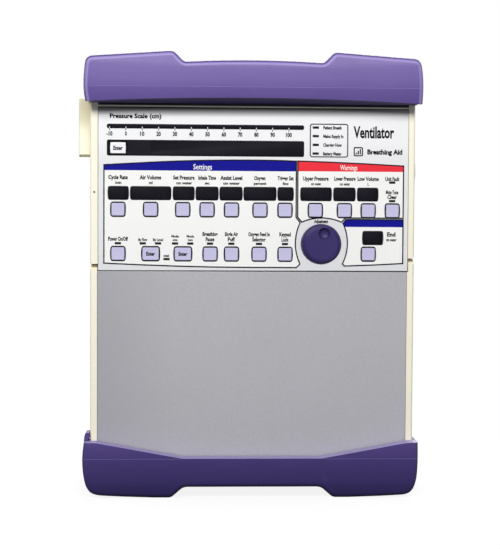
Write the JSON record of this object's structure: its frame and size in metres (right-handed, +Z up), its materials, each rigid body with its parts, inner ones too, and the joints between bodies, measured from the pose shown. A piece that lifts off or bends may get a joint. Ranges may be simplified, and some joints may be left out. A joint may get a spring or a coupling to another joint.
{
  "type": "mechanical ventilator",
  "caption": "Compact upright turbine ventilator with key panel, set-value knob, display windows, purple elastomer end boots, side gas ports and a rear mounting pattern.",
  "frame": {"origin": "centre of the four-hole mounting pattern on the case's back plane", "axes": "+Z up along the case's height, +X to the right as seen from the front, +Y out of the back; the control panel faces -Y"},
  "size_m": [0.2694, 0.094, 0.3466],
  "materials": {
    "case_cream": "fine satin",
    "cover_grey": "fine texture",
    "boot_purple": "satin moulded elastomer",
    "overlay_print": "printed film, satin",
    "window_dark": "gloss smoked",
    "indicator_lens": "gloss",
    "knob_purple": "satin",
    "shaft_steel": "turned",
    "black_plastic": "matte",
    "mat_rubber": "matte silicone",
    "board_green": "solder mask",
    "frame_aluminium": "milled",
    "battery_wrap": "shrink wrap",
    "blower_grey": "satin cast",
    "rotor_white": "moulded",
    "filter_foam": "open foam",
    "hose_silicone": "silicone",
    "port_grey": "moulded",
    "port_metal": "plated",
    "port_brass": "turned",
    "grille_metal": "satin black",
    "key_lavender": "satin",
    "key_white": "satin"
  },
  "bodies": {
    "case": {"rear_shell": "case_cream", "upper_front_frame": "case_cream", "lower_front_frame": "case_cream", "lower_front_cover": "cover_grey", "top_boot": "boot_purple", "bottom_boot": "boot_purple", "control_overlay": "overlay_print", "pressure_window": "window_dark", "message_window": "window_dark", "display_windows": "window_dark", "indicator_lights": "indicator_lens", "encoder_body": "black_plastic", "keypad_mat": "mat_rubber", "display_modules": "black_plastic", "control_board": "board_green", "internal_frame": "frame_aluminium", "main_board": "board_green", "battery_pack": "battery_wrap", "turbine_housing": "blower_grey", "flow_valve_body": "frame_aluminium", "oxygen_blender": "frame_aluminium", "intake_silencer": "black_plastic", "air_filter": "filter_foam", "air_hoses": "hose_silicone", "outlet_port": "port_grey", "sensor_ports": "port_metal", "oxygen_inlet": "port_brass", "power_inlet": "black_plastic", "data_sockets": "black_plastic", "alarm_sounder": "black_plastic", "fan_frame": "black_plastic", "fan_grille": "grille_metal", "case_screws": "shaft_steel", "mount_inserts": "port_brass"},
    "knob": {"set_knob": "knob_purple", "encoder_shaft": "shaft_steel"},
    "turbine_wheel": {"turbine_rotor": "rotor_white"},
    "fan_wheel": {"fan_rotor": "black_plastic"},
    "valve_poppet": {"flow_valve_poppet": "shaft_steel"},
    "filter_door": {"filter_cover": "case_cream"},
    "button_rate": {"key_rate": "key_lavender"},
    "button_volume": {"key_volume": "key_lavender"},
    "button_pressure": {"key_pressure": "key_lavender"},
    "button_insp_time": {"key_insp_time": "key_lavender"},
    "button_support": {"key_support": "key_lavender"},
    "button_oxygen": {"key_oxygen": "key_lavender"},
    "button_trigger": {"key_trigger": "key_lavender"},
    "button_high_limit": {"key_high_limit": "key_lavender"},
    "button_low_limit": {"key_low_limit": "key_lavender"},
    "button_low_volume": {"key_low_volume": "key_lavender"},
    "button_silence": {"key_silence": "key_lavender"},
    "button_standby": {"key_standby": "key_lavender"},
    "button_breath_type": {"key_breath_type": "key_lavender"},
    "button_mode": {"key_mode": "key_lavender"},
    "button_hold": {"key_hold": "key_lavender"},
    "button_manual": {"key_manual": "key_lavender"},
    "button_source": {"key_source": "key_lavender"},
    "button_lock": {"key_lock": "key_lavender"},
    "button_end_pressure": {"key_end_pressure": "key_lavender"},
    "button_menu": {"key_menu": "key_white"}
  },
  "joints": [
    {"name": "button_rate_press", "type": "slide", "parent": "case", "child": "button_rate", "axis": [0, 1, 0], "range_m": [0, 0.0008]},
    {"name": "button_volume_press", "type": "slide", "parent": "case", "child": "button_volume", "axis": [0, 1, 0], "range_m": [0, 0.0008]},
    {"name": "button_pressure_press", "type": "slide", "parent": "case", "child": "button_pressure", "axis": [0, 1, 0], "range_m": [0, 0.0008]},
    {"name": "button_insp_time_press", "type": "slide", "parent": "case", "child": "button_insp_time", "axis": [0, 1, 0], "range_m": [0, 0.0008]},
    {"name": "button_support_press", "type": "slide", "parent": "case", "child": "button_support", "axis": [0, 1, 0], "range_m": [0, 0.0008]},
    {"name": "button_oxygen_press", "type": "slide", "parent": "case", "child": "button_oxygen", "axis": [0, 1, 0], "range_m": [0, 0.0008]},
    {"name": "button_trigger_press", "type": "slide", "parent": "case", "child": "button_trigger", "axis": [0, 1, 0], "range_m": [0, 0.0008]},
    {"name": "button_high_limit_press", "type": "slide", "parent": "case", "child": "button_high_limit", "axis": [0, 1, 0], "range_m": [0, 0.0008]},
    {"name": "button_low_limit_press", "type": "slide", "parent": "case", "child": "button_low_limit", "axis": [0, 1, 0], "range_m": [0, 0.0008]},
    {"name": "button_low_volume_press", "type": "slide", "parent": "case", "child": "button_low_volume", "axis": [0, 1, 0], "range_m": [0, 0.0008]},
    {"name": "button_silence_press", "type": "slide", "parent": "case", "child": "button_silence", "axis": [0, 1, 0], "range_m": [0, 0.0008]},
    {"name": "button_standby_press", "type": "slide", "parent": "case", "child": "button_standby", "axis": [0, 1, 0], "range_m": [0, 0.0008]},
    {"name": "button_breath_type_press", "type": "slide", "parent": "case", "child": "button_breath_type", "axis": [0, 1, 0], "range_m": [0, 0.0008]},
    {"name": "button_mode_press", "type": "slide", "parent": "case", "child": "button_mode", "axis": [0, 1, 0], "range_m": [0, 0.0008]},
    {"name": "button_hold_press", "type": "slide", "parent": "case", "child": "button_hold", "axis": [0, 1, 0], "range_m": [0, 0.0008]},
    {"name": "button_manual_press", "type": "slide", "parent": "case", "child": "button_manual", "axis": [0, 1, 0], "range_m": [0, 0.0008]},
    {"name": "button_source_press", "type": "slide", "parent": "case", "child": "button_source", "axis": [0, 1, 0], "range_m": [0, 0.0008]},
    {"name": "button_lock_press", "type": "slide", "parent": "case", "child": "button_lock", "axis": [0, 1, 0], "range_m": [0, 0.0008]},
    {"name": "button_end_pressure_press", "type": "slide", "parent": "case", "child": "button_end_pressure", "axis": [0, 1, 0], "range_m": [0, 0.0008]},
    {"name": "button_menu_press", "type": "slide", "parent": "case", "child": "button_menu", "axis": [0, 1, 0], "range_m": [0, 0.0008]},
    {"name": "knob_turn", "type": "hinge", "parent": "case", "child": "knob", "pos_m": [0.053, -0.0756, 0.0249], "axis": [0, 1, 0], "continuous": true},
    {"name": "turbine_spin", "type": "hinge", "parent": "case", "child": "turbine_wheel", "pos_m": [0.066, -0.05, -0.062], "axis": [0, 1, 0], "continuous": true},
    {"name": "fan_spin", "type": "hinge", "parent": "case", "child": "fan_wheel", "pos_m": [0.072, -0.0165, -0.097], "axis": [0, 1, 0], "continuous": true},
    {"name": "valve_close", "type": "slide", "parent": "case", "child": "valve_poppet", "axis": [1, 0, 0], "range_m": [0, 0.006]},
    {"name": "filter_door_pull", "type": "slide", "parent": "case", "child": "filter_door", "axis": [-1, 0, 0], "range_m": [0, 0.03]}
  ]
}
